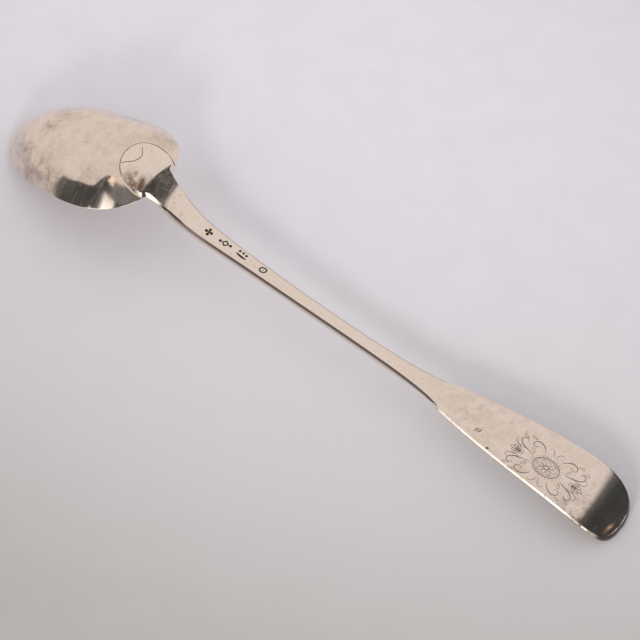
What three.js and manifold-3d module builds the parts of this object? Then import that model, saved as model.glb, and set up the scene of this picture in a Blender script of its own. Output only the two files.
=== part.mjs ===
// Stew spoon, a long-handled serving spoon in silver, lying face down on a table.
// Three pieces: a raised bowl, a forged handle whose round tongue laps the bowl's back,
// and the film of solder that holds the two together.
// Millimetres. +X runs from the bowl's tip to the handle's end, +Y across, +Z up from the table.
// Each form is written with x counted from the bowl's tip and is centred at the end.

import * as THREE from "three";
import { mergeVertices } from "three/addons/utils/BufferGeometryUtils.js";
import Module from "manifold-3d";

// The whole spoon
const spoonLength = 310;
const tableWear = 0.4; // how much the tip of the bowl and the end of the handle are worn flat

// The bowl, measured as it lies, back upwards
const bowlLength = 84.3;
const bowlWidth = 52.8;
const bowlDepth = 16.9;
const bowlWall = 1.5;
const widestAt = 54.8; // from the tip
const deepestAt = 50.6; // from the tip
const heelHeight = 33.6; // the rim at the heel, above the table
const rimArch = 3.5; // how far the rim bows up between the tip and the heel
const tipFullness = 1.73; // 2 is an ellipse, more is squarer, less is more pointed
const heelFullness = 2.47;
// How the back rounds from its deepest point to the rim: crown is how long it stays level,
// shoulder how steeply it then meets the rim
const backTowardsTip = { crown: 3.9, shoulder: 1.94 };
const backTowardsSide = { crown: 2.48, shoulder: 1 };
const backTowardsHeel = { crown: 2, shoulder: 1.07 };

// The solder, with a little room on each side of the film
const solderFilm = 0.12;
const solderGap = 0.06;
const solderInset = 0.15; // the film stops this far inside the tongue's edge

// The tongue, the rounded end of the handle on the back of the bowl
const tongueWidth = 22.7;
const tongueReach = 17.1; // from the heel towards the bowl's tip
const tongueRound = 10.7; // length of its rounded half
const tongueEdge = 0.35; // thickness at its edge
const tongueRise = 8.4; // over this length before the heel it leaves the bowl's curve
const tongueClose = 1.4; // over this length before the heel it narrows to the neck
const seatMargin = 1; // how far the blank reaches into the bowl before it is fitted

// The neck, where the handle drops from the heel to the stem
const neckWidth = 16.2; // at the heel
const neckFade = 4.7; // the distance in which the flare of the neck dies out
const neckRise = 0.85; // its back at the heel, above the bowl's rim
const neckFoot = 13.2; // from the heel to the bend at the foot of the slope
const neckEase = 4.75; // how soft that bend is
const neckThickness = 2.2;
const neckCrown = 0.3; // how much its back is rounded across
const neckBevel = 1.3; // facet along each edge of the neck
const bevelShare = 0.45; // how much of the thickness that facet takes
const bevelFade = 8.8; // the distance in which the facet dies out

// The stem
const stemWaist = 5.4; // width that the stem tapers towards
const stemTaper = 7.1; // extra width at the heel end, fading over stemTaperFade
const stemTaperFade = 29.5;
const stemThickness = 3.4;
const stemCrown = 0.12;
const stemEdge = 0.35; // small bevel along every other edge
const stemStart = 23.9; // height of the stem's line carried back to the heel
const stemFinish = 17.9; // height of the same line carried on to the end
const stemSag = 5; // how far the line dips between them

// The flat end, with its two shoulders
const flatLength = 84; // from the shoulders to the end
const flatWidth = 28.4;
const flatThickness = 1.8;
const shoulderWidth = 11.5; // the stem at the shoulders
const shoulderStep = 0.8; // how far each shoulder stands out
const shoulderRound = 2.4; // length of the step
const shoulderFlare = 14.6; // the distance over which the stem swells towards the shoulders
const thinningLength = 28; // the stem gets thinner over this length before the shoulders
const endRound = 43.4; // length of the rounded end
const endFullness = { along: 7, across: 2.77 };
const endFade = 10.9; // the end turns down to the table in this distance

// Fineness of the faceted forms
const roundSteps = 84;
const bowlRings = 13;
const crossSteps = 8;

const wasm = await Module();
wasm.setup();

// Small helpers for smooth curves
const mix = (a, b, share) => a + (b - a) * share;
const smooth = (from, to, x) => THREE.MathUtils.smootherstep(x, from, to);
const softCorner = (distance, ease) => ease * Math.log1p(Math.exp(distance / ease));
const fade = (distance, length) => Math.exp(-distance / length);

// A closed skin over rings of equal count, with a point that closes each end.
function skin(rings, startPoint, endPoint) {
  const count = rings[0].length;
  const points = [startPoint, ...rings.flat(), endPoint];
  const at = (ring, i) => 1 + ring * count + (i % count);
  const last = points.length - 1;
  const index = [];
  for (let i = 0; i < count; i++) {
    index.push(0, at(0, i + 1), at(0, i));
    index.push(last, at(rings.length - 1, i), at(rings.length - 1, i + 1));
    for (let ring = 0; ring + 1 < rings.length; ring++) {
      index.push(at(ring, i), at(ring, i + 1), at(ring + 1, i + 1));
      index.push(at(ring, i), at(ring + 1, i + 1), at(ring + 1, i));
    }
  }
  return new THREE.BufferGeometry().setFromPoints(points).setIndex(index);
}

function solidFrom(geometry) {
  const bare = geometry.clone();
  bare.deleteAttribute("normal");
  bare.deleteAttribute("uv");
  const merged = mergeVertices(bare, 1e-4);
  return new wasm.Manifold(
    new wasm.Mesh({
      numProp: 3,
      vertProperties: merged.attributes.position.array,
      triVerts: new Uint32Array(merged.index.array),
    }),
  );
}

function geometryFrom(solid) {
  const mesh = solid.getMesh();
  const position = new Float32Array(mesh.numVert * 3);
  for (let i = 0; i < mesh.numVert; i++) {
    const start = i * mesh.numProp;
    position.set(mesh.vertProperties.subarray(start, start + 3), i * 3);
  }
  return new THREE.BufferGeometry()
    .setAttribute("position", new THREE.BufferAttribute(position, 3))
    .setIndex(new THREE.BufferAttribute(new Uint32Array(mesh.triVerts), 1));
}

// The table wears both places that the spoon lies on, so each is cut level at z = 0.
function wornByTable(solid) {
  const margin = 20;
  const below = new THREE.BoxGeometry(spoonLength + 2 * margin, bowlWidth + 2 * margin, margin);
  below.translate(spoonLength / 2, 0, -margin / 2);
  return solid.subtract(solidFrom(below));
}

// Bowl

function rimHeight(x) {
  const t = x / bowlLength;
  return heelHeight * t + rimArch * 4 * t * (1 - t) - tableWear * (1 - t);
}

// The rim seen from above: angle 0 at the tip, a half turn at the heel.
function rimPoint(angle) {
  const along = Math.cos(angle);
  const across = Math.sin(angle);
  const power = 2 / (along > 0 ? tipFullness : heelFullness);
  const reach = along > 0 ? -widestAt : bowlLength - widestAt;
  return new THREE.Vector2(
    widestAt + reach * Math.abs(along) ** power,
    (bowlWidth / 2) * Math.sign(across) * Math.abs(across) ** power,
  );
}

// A point of the bowl's back on the line from its deepest place to the rim. share is 0 in the
// middle and 1 at the rim. grow moves the whole surface out, or in if it is negative.
function bowlPoint(share, angle, grow) {
  const rim = rimPoint(angle);
  const ray = new THREE.Vector2(rim.x - deepestAt, rim.y);
  const reach = ray.length();
  ray.divideScalar(reach);
  const tip = Math.max(0, -ray.x) ** 2;
  const heel = Math.max(0, ray.x) ** 2;
  const side = ray.y ** 2;
  const blend = (key) =>
    tip * backTowardsTip[key] + side * backTowardsSide[key] + heel * backTowardsHeel[key];
  const x = deepestAt + ray.x * (reach + grow) * share;
  const y = ray.y * (reach + grow) * share;
  const dome = Math.max(0, 1 - share ** blend("crown")) ** (1 / blend("shoulder"));
  return new THREE.Vector3(x, y, rimHeight(x) + (bowlDepth + grow) * dome);
}

// Height of the bowl's back over a place on the table, found by turning the ray onto it.
function bowlHeight(x, y, grow) {
  const wanted = Math.atan2(Math.abs(y), deepestAt - x);
  let low = 0;
  let high = Math.PI;
  for (let i = 0; i < 40; i++) {
    const middle = (low + high) / 2;
    const rim = rimPoint(middle);
    if (Math.atan2(rim.y, deepestAt - rim.x) < wanted) low = middle;
    else high = middle;
  }
  const rim = rimPoint(low);
  const reach = Math.hypot(rim.x - deepestAt, rim.y) + grow;
  const share = Math.min(1, Math.hypot(x - deepestAt, y) / reach);
  return bowlPoint(share, low, grow).z;
}

function bowlRing(share, grow) {
  const ring = [];
  for (let i = 0; i < roundSteps; i++) {
    ring.push(bowlPoint(share, (2 * Math.PI * i) / roundSteps, grow));
  }
  return ring;
}

const ringShares = [];
for (let i = 1; i <= bowlRings; i++) {
  ringShares.push(Math.sin((Math.PI / 2) * (i / bowlRings)));
}

// A shell of even wall, open underneath, with a flat rim all round.
function makeBowl() {
  const outside = ringShares.map((share) => bowlRing(share, 0));
  const inside = ringShares.map((share) => bowlRing(share, -bowlWall)).reverse();
  const shell = skin([...outside, ...inside], bowlPoint(0, 0, 0), bowlPoint(0, 0, -bowlWall));
  return wornByTable(solidFrom(shell));
}

// The room that the bowl takes up, with a seat clearance round it: the tongue is cut to fit it.
function bowlRoom(clearance) {
  const skirt = 4 * neckThickness; // it reaches below the whole thickness of the neck
  const rings = ringShares.map((share) => bowlRing(share, clearance));
  const rim = rings[rings.length - 1];
  const drop = new THREE.Vector3(0, 0, -skirt);
  rings.push(rim.map((point) => point.clone().add(drop)));
  const top = bowlPoint(0, 0, clearance);
  const floor = new THREE.Vector3(deepestAt, 0, rimHeight(deepestAt) - skirt);
  return solidFrom(skin(rings, top, floor));
}

// Handle

const lift = solderFilm + 2 * solderGap; // from the bowl's back to the tongue
const tongueTip = bowlLength - tongueReach;
const tongueMiddle = tongueTip + tongueRound;
const shoulderAt = spoonLength - flatLength;

function stemHalfWidth(x) {
  const fromHeel = Math.max(0, x - bowlLength);
  const taper = stemTaper * fade(fromHeel, stemTaperFade);
  const flare = (neckWidth - stemWaist - stemTaper) * fade(fromHeel, neckFade);
  const swell = (shoulderWidth - stemWaist) * fade(shoulderAt - x, shoulderFlare);
  return (stemWaist + taper + flare + swell) / 2;
}

function tongueHalfWidth(x) {
  const off = (x - tongueMiddle) / tongueRound;
  return (tongueWidth / 2) * Math.sqrt(Math.max(0, 1 - off * off));
}

function flatHalfWidth(x) {
  const start = stemHalfWidth(shoulderAt) + shoulderStep;
  const t = (x - shoulderAt) / flatLength;
  const sides = flatWidth / 2 - (flatWidth / 2 - start) * (1 - t) ** 2;
  const u = THREE.MathUtils.clamp((x - spoonLength + endRound) / endRound, 0, 1);
  return sides * (1 - u ** endFullness.along) ** (1 / endFullness.across);
}

function halfWidth(x) {
  if (x < bowlLength) {
    const closing = smooth(bowlLength - tongueClose, bowlLength, x);
    return mix(tongueHalfWidth(x), stemHalfWidth(x), closing);
  }
  if (x < shoulderAt) return stemHalfWidth(x);
  const stem = stemHalfWidth(shoulderAt);
  return mix(stem, flatHalfWidth(x), smooth(shoulderAt, shoulderAt + shoulderRound, x));
}

const neckSlope = (heelHeight + neckRise - stemStart) / softCorner(neckFoot, neckEase);

// The end turns down until its underside is worn by the table. Its plumb thickness depends
// on that turn, so the drop is found in a few rounds.
let endDrop = stemFinish;
for (let i = 0; i < 20; i++) {
  const plumb = flatThickness * Math.hypot(1, endDrop / endFade);
  endDrop = stemFinish + tableWear - plumb;
}

// Height of the handle's back along its middle, past the tongue.
function backHeight(x) {
  const t = (x - bowlLength) / (spoonLength - bowlLength);
  const line = mix(stemStart, stemFinish, t) - stemSag * 4 * t * (1 - t);
  const neck = neckSlope * softCorner(bowlLength + neckFoot - x, neckEase);
  const end = endDrop * fade(spoonLength - x, endFade);
  return line + neck - end;
}

// The back of the handle over any place. It starts parallel to the bowl and leaves it as the neck.
function topHeight(x, y, half) {
  const onBowl = 1 - smooth(bowlLength - tongueRise, bowlLength, x);
  const crown = mix(neckCrown, stemCrown, smooth(bowlLength, bowlLength + neckFoot, x));
  const free = backHeight(x) - crown * (y / half) ** 2;
  if (onBowl === 0) return free;
  return mix(free, bowlHeight(x, y, lift + tongueEdge), onBowl);
}

function thickness(x) {
  const neck = mix(neckThickness, stemThickness, smooth(bowlLength, bowlLength + neckFoot, x));
  return mix(neck, flatThickness, smooth(shoulderAt - thinningLength, shoulderAt, x));
}

// Thickness measured straight down, where the back slopes.
function plumbThickness(x) {
  const slope = backHeight(x + 0.5) - backHeight(x - 0.5);
  return thickness(x) * Math.hypot(1, slope);
}

// The flat underside. Under the tongue it is deep inside the bowl, which is cut away later.
function underHeight(x, half) {
  const under = topHeight(x, 0, half) - plumbThickness(x);
  if (x >= bowlLength) return under;
  return Math.min(under, bowlHeight(x, half, 0) - seatMargin);
}

// One cross-section of the handle: crowned back, beveled edges, flat underside.
function section(x, inset) {
  const half = halfWidth(x) - inset;
  const under = underHeight(x, half);
  const onNeck = smooth(bowlLength - tongueRise, bowlLength, x);
  const facet = neckBevel * fade(Math.max(0, x - bowlLength), bevelFade) * onNeck;
  const bevel = Math.min(Math.max(stemEdge, facet), half / 3);
  const edge = Math.min(stemEdge, half / 4, thickness(x) / 4);
  const drop = Math.min(bevel, mix(tongueEdge / 2, bevelShare * thickness(x), onNeck));
  const ring = [];
  for (let i = 0; i <= crossSteps; i++) {
    const y = (half - bevel) * ((2 * i) / crossSteps - 1);
    ring.push(new THREE.Vector3(x, y, topHeight(x, y, half)));
  }
  const side = topHeight(x, half - bevel, half) - drop;
  ring.push(new THREE.Vector3(x, half, side));
  ring.push(new THREE.Vector3(x, half, under + edge));
  ring.push(new THREE.Vector3(x, half - edge, under));
  ring.push(new THREE.Vector3(x, 0, under));
  ring.push(new THREE.Vector3(x, edge - half, under));
  ring.push(new THREE.Vector3(x, -half, under + edge));
  ring.push(new THREE.Vector3(x, -half, side));
  return ring.reverse();
}

// Places of the cross-sections, closer together where the outline turns.
function stations() {
  const places = [];
  const span = (from, to, steps, ease = (t) => t) => {
    for (let i = 0; i < steps; i++) places.push(mix(from, to, ease(i / steps)));
  };
  const firstTurn = 0.11; // the tongue starts with a short straight edge
  const lastGap = 0.02; // and the end stops just short of a point
  const footEnd = bowlLength + 1.6 * neckFoot;
  const stepEnd = shoulderAt + shoulderRound;
  span(tongueTip, tongueMiddle, 10, (t) => 1 - Math.cos(mix(firstTurn, Math.PI / 2, t)));
  span(tongueMiddle, bowlLength - tongueClose, 6);
  span(bowlLength - tongueClose, bowlLength, 4);
  span(bowlLength, footEnd, 18);
  span(footEnd, shoulderAt, 24);
  span(shoulderAt, stepEnd, 8);
  span(stepEnd, spoonLength - endRound, 10);
  span(spoonLength - endRound, spoonLength - lastGap, 20, (t) => 1 - (1 - t) ** 2);
  places.push(spoonLength - lastGap);
  return places;
}

// The handle before its tongue is fitted to the bowl.
function handleBlank(inset) {
  const rings = stations().map((x) => section(x, inset));
  const middleOf = (ring) => {
    const box = new THREE.Box3().setFromPoints(ring);
    return box.getCenter(new THREE.Vector3());
  };
  return solidFrom(skin(rings, middleOf(rings[0]), middleOf(rings[rings.length - 1])));
}

function makeHandle() {
  return wornByTable(handleBlank(0).subtract(bowlRoom(lift)));
}

// Solder fills the lap between the tongue and the bowl, and the butt at the heel.
function makeSolder() {
  const film = bowlRoom(solderGap + solderFilm).subtract(bowlRoom(solderGap));
  return film.intersect(handleBlank(solderInset));
}

// Assembly

function silver(color, roughness) {
  return new THREE.MeshStandardMaterial({ color, roughness, metalness: 1 });
}

function piece(name, solid, material) {
  const mesh = new THREE.Mesh(geometryFrom(solid), material);
  mesh.name = name;
  return mesh;
}

const spoon = new THREE.Group();
spoon.add(piece("bowl", makeBowl(), silver(0xd8c8ba, 0.24)));
spoon.add(piece("handle", makeHandle(), silver(0xd9cbbe, 0.2)));
spoon.add(piece("solder_seam", makeSolder(), silver(0x6e6257, 0.5)));
spoon.children.forEach((mesh) => mesh.geometry.computeVertexNormals());
spoon.position.x = -spoonLength / 2;

const group = new THREE.Group();
group.add(spoon);
export default group;
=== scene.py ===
"""A silver stew spoon that lies face down on a pale table.

The bowl and the handle are smooth skins over the forms of the solid model. They are then dressed
with the solder seam round the tongue, an engraved ornament, plain punch marks and old silver.
Lengths are in millimetres until a mesh is made, and x is counted from the bowl's tip.
"""

import math

import bmesh
import bpy
import numpy as np
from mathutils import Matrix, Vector


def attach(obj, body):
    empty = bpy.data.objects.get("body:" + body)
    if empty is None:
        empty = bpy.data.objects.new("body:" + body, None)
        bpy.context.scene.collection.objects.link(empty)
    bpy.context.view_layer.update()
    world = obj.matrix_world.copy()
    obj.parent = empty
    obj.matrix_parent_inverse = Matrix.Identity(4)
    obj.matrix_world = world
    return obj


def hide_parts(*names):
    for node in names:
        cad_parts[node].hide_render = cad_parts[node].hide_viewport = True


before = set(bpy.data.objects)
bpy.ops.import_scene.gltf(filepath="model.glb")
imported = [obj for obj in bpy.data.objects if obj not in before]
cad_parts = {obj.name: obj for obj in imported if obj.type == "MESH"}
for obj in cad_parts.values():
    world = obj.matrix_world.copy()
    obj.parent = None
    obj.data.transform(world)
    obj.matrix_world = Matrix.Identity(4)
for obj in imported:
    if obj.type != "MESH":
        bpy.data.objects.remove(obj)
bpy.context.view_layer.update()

MM = 0.001
TINY = 1e-4

# The whole spoon
SPOON_LENGTH = 310.0
TABLE_WEAR = 0.4

# The bowl
BOWL_LENGTH = 84.3
BOWL_WIDTH = 52.8
BOWL_DEPTH = 16.9
BOWL_WALL = 1.5
WIDEST_AT = 54.8
DEEPEST_AT = 50.6
HEEL_HEIGHT = 33.6
RIM_ARCH = 3.5
TIP_FULLNESS = 1.73  # 2 is an oval, less is more pointed
HEEL_FULLNESS = 2.47
TOWARDS_TIP = (3.9, 1.94)  # how long the back stays level, and how steeply it meets the rim
TOWARDS_SIDE = (2.48, 1.0)
TOWARDS_HEEL = (2.0, 1.07)
SWELLS = (  # soft hammered swells: place, reach and height
    (47.7, -19.8, 3.85, 4.7, 0.18),
    (48.9, -18.9, 3.5, 2.5, 0.16),
)
LIP_ROUND = 0.55  # the rim's outer edge is rounded over this width
INNER_ROUND = 0.3

# The tongue and the solder under it
SEAT_LIFT = 0.24  # the tongue lies this far above the bowl's back
TONGUE_WIDTH = 22.7
TONGUE_REACH = 17.1
TONGUE_ROUND = 10.7
TONGUE_EDGE = 0.35
TONGUE_BEVEL = 0.7 * TONGUE_EDGE
UNDER_EDGE = 0.05
TONGUE_RISE = 8.4  # the handle leaves the bowl's back over this length
TONGUE_CLOSE = 1.4  # and its outline turns into the neck's over this one

# The neck
NECK_WIDTH = 16.2
NECK_FADE = 4.7
NECK_RISE = 0.85  # above the bowl's heel
NECK_FOOT = 13.2  # the slope ends this far from the heel
NECK_EASE = 4.75
NECK_THICKNESS = 2.2
NECK_CROWN = 0.3
NECK_BEVEL = 1.3
BEVEL_SHARE = 0.56  # of the thickness
BEVEL_FADE = 8.8

# The stem
STEM_WAIST = 5.4
STEM_TAPER = 7.1
STEM_TAPER_FADE = 29.5
STEM_THICKNESS = 3.4
STEM_CROWN = 0.12
STEM_EDGE = 0.35
STEM_ROUND = 0.85  # the stem's worn upper edge
STEM_START = 23.9  # its height at the heel, without the neck
STEM_FINISH = 17.9  # and at the end
STEM_SAG = 5.0
NEAR_SIDE_PAINTED_SHADE = (0.5, 1.0, 1.0, 1.0, 0.9, 0.1, 0.0, 0.75)  # painted shade standing in for dark reflections on the stem's near side, from its upper edge down
FAR_SIDE_PAINTED_SHADE = (0.45,) * 4  # painted shade on the stem's far side
SHOULDER_FADE = 4
END_PAINTED_SHADE = 1.15  # painted shade on the edge round the flat end's tip, darkening a pale reflection there
END_PAINTED_SHADE_FAR = (18, 12)  # it comes on between these distances from the tip
END_PAINTED_SHADE_NEAR = (5.5, 2.5)

# The flat end and its shoulders
FLAT_LENGTH = 84.0
FLAT_WIDTH = 28.4
FLAT_THICKNESS = 1.8
SHOULDER_WIDTH = 11.5
SHOULDER_STEP = 0.8
SHOULDER_ROUND = 2.4
SHOULDER_FLARE = 14.6
THINNING_LENGTH = 28.0
END_ROUND = 43.4
END_ALONG = 7.0  # the powers of its outline
END_ACROSS = 2.77
END_FADE = 10.9  # the end turns down over this length
FLAT_CHAMFER = (0.45, 0.72)  # across and down

# How fine the skins are
SKIN_INSET = 0.06  # keeps the skins inside the solid model's two ends
CREASE = 30  # edges that turn by more degrees than this stay crisp
BOWL_TURNS = 480
BOWL_RINGS = 90
LIP_RINGS = 7
INNER_LIP_RINGS = 5
HANDLE_ACROSS = 21
HANDLE_UNDER = 12
EDGE_STEPS = 6
BUTT_EASE = 5
LAST_SHARE = 0.9995  # the last ring stops just short of the tip
SEARCH_ROUNDS = 40

# What is drawn on the silver
SEAM_WIDTH = 0.52
SEAM_HEIGHT = 0.3  # the seam's middle above the bowl's back
SEAM_END = 0.985  # the seam stops at this share of the way to the rim
SCRIBE_WIDTH = 0.34
SCRIBED_ARCH = (
    (69.4, -6.2), (70.2, -5.1), (71.0, -4.0), (72.4, -2.3), (73.1, -0.1),
    (73.1, 2.0), (72.4, 3.2), (71.7, 3.9), (70.7, 5.2),
)
ORNAMENT_AT = (276.6, -2.9)
ORNAMENT_STRETCH = (1.22, 1.0)
ORNAMENT_WEIGHT = 1.25  # how much bolder its lines are than they are drawn

TONGUE_TIP = BOWL_LENGTH - TONGUE_REACH
TONGUE_MIDDLE = TONGUE_TIP + TONGUE_ROUND
SHOULDER_AT = SPOON_LENGTH - FLAT_LENGTH


# Curves


def mix(a, b, share):
    return a + (b - a) * share


def smooth(start, end, x):
    t = np.clip((x - start) / (end - start), 0, 1)
    return t * t * t * (t * (6 * t - 15) + 10)


def soft_corner(distance, ease):
    return ease * np.log1p(np.exp(distance / ease))


def fade(distance, length):
    return np.exp(-distance / length)


# The bowl's back


def rim_height(x):
    t = x / BOWL_LENGTH
    return HEEL_HEIGHT * t + RIM_ARCH * 4 * t * (1 - t) - TABLE_WEAR * (1 - t)


def rim_point(angle):
    """The rim from above: angle 0 is the tip and a half turn the heel."""
    along, across = np.cos(angle), np.sin(angle)
    power = 2 / np.where(along > 0, TIP_FULLNESS, HEEL_FULLNESS)
    reach = np.where(along > 0, -WIDEST_AT, BOWL_LENGTH - WIDEST_AT)
    x = WIDEST_AT + reach * np.abs(along) ** power
    return x, BOWL_WIDTH / 2 * np.sign(across) * np.abs(across) ** power


RIM_X, RIM_Y = rim_point(np.linspace(0, math.pi, 4001))
RIM_REACH = np.hypot(RIM_X - DEEPEST_AT, RIM_Y)
RIM_TURN = np.arctan2(np.abs(RIM_Y), DEEPEST_AT - RIM_X)


def ray_to(x, y, grow):
    """How far out to the rim a place is, and which way it lies: -1 to the tip, 1 to the heel."""
    turn = np.arctan2(np.abs(y), DEEPEST_AT - x)
    reach = np.interp(turn, RIM_TURN, RIM_REACH) + grow
    return np.hypot(x - DEEPEST_AT, y) / reach, -np.cos(turn)


def rounding(share, along):
    """The dome over one ray, 1 in the middle and 0 at the rim."""
    soft = 0.15
    heel = ((along + np.hypot(along, soft)) / 2) ** 2
    tip = ((-along + np.hypot(along, soft)) / 2) ** 2
    side = 1 - along**2
    crown, shoulder = (
        (heel * a + tip * b + side * c) / (heel + tip + side)
        for a, b, c in zip(TOWARDS_HEEL, TOWARDS_TIP, TOWARDS_SIDE)
    )
    return np.clip(1 - np.minimum(share, 1) ** crown, 0, 1) ** (1 / shoulder)


PATCH_SIZE = 30.0
PATCH_POWERS = 7
PATCH_SPAN = (15, 80)  # the part of the back to which the patch is fitted
PATCH_HALF = 24
PATCH_REACH = 0.66  # the share of the way to the rim
PATCH_BLEND = (0.3, 0.62)  # the shares between which it gives way to the dome


def patch_terms(x, y):
    u, v = (x - DEEPEST_AT) / PATCH_SIZE, y / PATCH_SIZE
    powers = [(i, j) for i in range(PATCH_POWERS) for j in range(0, PATCH_POWERS - i, 2)]
    return np.stack([u**i * v**j for i, j in powers], -1)


def fit_patch():
    """The middle of the back as one smooth patch, so that reflections cross it evenly."""
    x, y = np.meshgrid(np.linspace(*PATCH_SPAN, 140), np.linspace(0, PATCH_HALF, 60))
    share, along = ray_to(x, y, 0)
    near = share < PATCH_REACH
    dome = rounding(share[near], along[near])
    return np.linalg.lstsq(patch_terms(x[near], y[near]), dome, rcond=None)[0]


PATCH = fit_patch()


def bowl_back(x, y, grow=0.0):
    share, along = ray_to(x, y, grow)
    dome = rounding(share, along)
    middle = mix(patch_terms(x, y) @ PATCH, dome, smooth(*PATCH_BLEND, share))
    dome = np.where(share < PATCH_BLEND[1], middle, dome)
    swell = sum(
        height * np.exp(-(((x - at_x) / along_x) ** 2) - ((y - at_y) / along_y) ** 2)
        for at_x, at_y, along_x, along_y, height in SWELLS
    )
    return rim_height(x) + (BOWL_DEPTH + grow) * dome + swell


# The handle


def stem_half(x):
    past = np.maximum(0, x - BOWL_LENGTH)
    taper = STEM_TAPER * fade(past, STEM_TAPER_FADE)
    flare = (NECK_WIDTH - STEM_WAIST - STEM_TAPER) * fade(past, NECK_FADE)
    swell = fade(SHOULDER_AT - np.minimum(x, SHOULDER_AT), SHOULDER_FLARE)
    swell = (SHOULDER_WIDTH - STEM_WAIST) * swell
    return (STEM_WAIST + taper + flare + swell) / 2


def tongue_half(x):
    off = (x - TONGUE_MIDDLE) / TONGUE_ROUND
    return TONGUE_WIDTH / 2 * np.sqrt(np.maximum(0, 1 - off**2))


def flat_half(x):
    start = stem_half(SHOULDER_AT) + SHOULDER_STEP
    t = (x - SHOULDER_AT) / FLAT_LENGTH
    sides = FLAT_WIDTH / 2 - (FLAT_WIDTH / 2 - start) * (1 - t) ** 2
    u = np.clip((x - SPOON_LENGTH + END_ROUND) / END_ROUND, 0, 1)
    return sides * np.maximum(0, 1 - u**END_ALONG) ** (1 / END_ACROSS)


def half_width(x):
    closing = smooth(BOWL_LENGTH - TONGUE_CLOSE, BOWL_LENGTH, x)
    front = mix(tongue_half(x), stem_half(x), closing)
    step = smooth(SHOULDER_AT, SHOULDER_AT + SHOULDER_ROUND, x)
    back = mix(stem_half(x), flat_half(x), step)
    return np.where(x < BOWL_LENGTH, front, back)


NECK_SLOPE = (HEEL_HEIGHT + NECK_RISE - STEM_START) / soft_corner(NECK_FOOT, NECK_EASE)


def find_end_drop():
    """The end turns down until its underside is worn by the table."""
    drop = STEM_FINISH
    for _ in range(SEARCH_ROUNDS):
        drop = STEM_FINISH + TABLE_WEAR - FLAT_THICKNESS * math.hypot(1, drop / END_FADE)
    return drop


END_DROP = find_end_drop()


def back_height(x):
    t = (x - BOWL_LENGTH) / (SPOON_LENGTH - BOWL_LENGTH)
    line = mix(STEM_START, STEM_FINISH, t) - STEM_SAG * 4 * t * (1 - t)
    neck = NECK_SLOPE * soft_corner(BOWL_LENGTH + NECK_FOOT - x, NECK_EASE)
    return line + neck - END_DROP * fade(SPOON_LENGTH - x, END_FADE)


def handle_back(x, y, half):
    on_bowl = 1 - smooth(BOWL_LENGTH - TONGUE_RISE, BOWL_LENGTH, x)
    neck_foot = smooth(BOWL_LENGTH, BOWL_LENGTH + NECK_FOOT, x)
    crown = mix(NECK_CROWN, STEM_CROWN, neck_foot)
    free = back_height(x) - crown * (y / half) ** 2
    return mix(free, bowl_back(x, y, SEAT_LIFT + TONGUE_EDGE), on_bowl)


def plumb_thickness(x):
    neck_foot = smooth(BOWL_LENGTH, BOWL_LENGTH + NECK_FOOT, x)
    stem = mix(NECK_THICKNESS, STEM_THICKNESS, neck_foot)
    flat = mix(stem, FLAT_THICKNESS, smooth(SHOULDER_AT - THINNING_LENGTH, SHOULDER_AT, x))
    slope = back_height(x + 0.5) - back_height(x - 0.5)
    return flat, flat * np.hypot(1, slope)


# Meshes


def place(points):
    """Millimetres from the bowl's tip to metres in the part's frame."""
    return (np.asarray(points, float) - (SPOON_LENGTH / 2, 0, 0)) * MM


def loft(rings):
    """Faces over closed rings of equal count, with both ends closed."""
    rows, count = rings.shape[:2]
    index = np.arange(rows * count).reshape(rows, count)
    turned = np.roll(index, -1, axis=1)
    quads = np.stack([index[:-1], turned[:-1], turned[1:], index[1:]], -1).reshape(-1, 4)
    return quads.tolist() + [index[0, ::-1].tolist(), index[-1].tolist()]


def turn_faces_out(mesh):
    skin = bmesh.new()
    skin.from_mesh(mesh)
    bmesh.ops.remove_doubles(skin, verts=skin.verts, dist=1e-6 * MM)
    bmesh.ops.recalc_face_normals(skin, faces=skin.faces)
    skin.to_mesh(mesh)
    skin.free()
    mesh.shade_smooth()


def add_object(name, data):
    made = bpy.data.objects.new(name, data)
    bpy.context.scene.collection.objects.link(made)
    return made


def make_piece(name, points, faces, material, tarnish_and_painted_shade=None):
    """A closed smooth skin, crisp along its sharp edges."""
    low = (SKIN_INSET, -BOWL_WIDTH, 0)
    high = (SPOON_LENGTH - SKIN_INSET, BOWL_WIDTH, SPOON_LENGTH)
    mesh = bpy.data.meshes.new(name)
    mesh.from_pydata(place(np.clip(points, low, high)).tolist(), [], faces)
    # Painted shade for the skin's sides, point by point
    if tarnish_and_painted_shade is not None:
        mesh.attributes.new("painted_side_shade", "FLOAT", "POINT").data.foreach_set("value", tarnish_and_painted_shade)
    turn_faces_out(mesh)
    mesh.set_sharp_from_angle(angle=math.radians(CREASE))
    mesh.materials.append(material)
    return add_object(name, mesh)


def find_last(low, high, holds):
    """The last places between low and high where a test still holds."""
    for _ in range(SEARCH_ROUNDS):
        middle = (low + high) / 2
        held = holds(middle)
        low, high = np.where(held, middle, low), np.where(held, high, middle)
    return low


def ring_at(shares, turns, grow):
    """A ring of the bowl's back, or of its inside where grow is below 0."""
    rim_x, rim_y = rim_point(turns)
    reach = np.hypot(rim_x - DEEPEST_AT, rim_y)
    scale = shares * (1 + grow / reach)
    x = DEEPEST_AT + (rim_x - DEEPEST_AT) * scale
    y = rim_y * scale
    return np.stack([x, y, bowl_back(x, y, grow)], -1)


def rim_corner(turns, grow, inset=0.0):
    """The rim's line, moved inset inwards."""
    rim_x, rim_y = rim_point(turns)
    reach = np.hypot(rim_x - DEEPEST_AT, rim_y)
    scale = (reach + grow - inset) / reach
    x = DEEPEST_AT + (rim_x - DEEPEST_AT) * scale
    return np.stack([x, rim_y * scale, rim_height(x)], -1)


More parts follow.
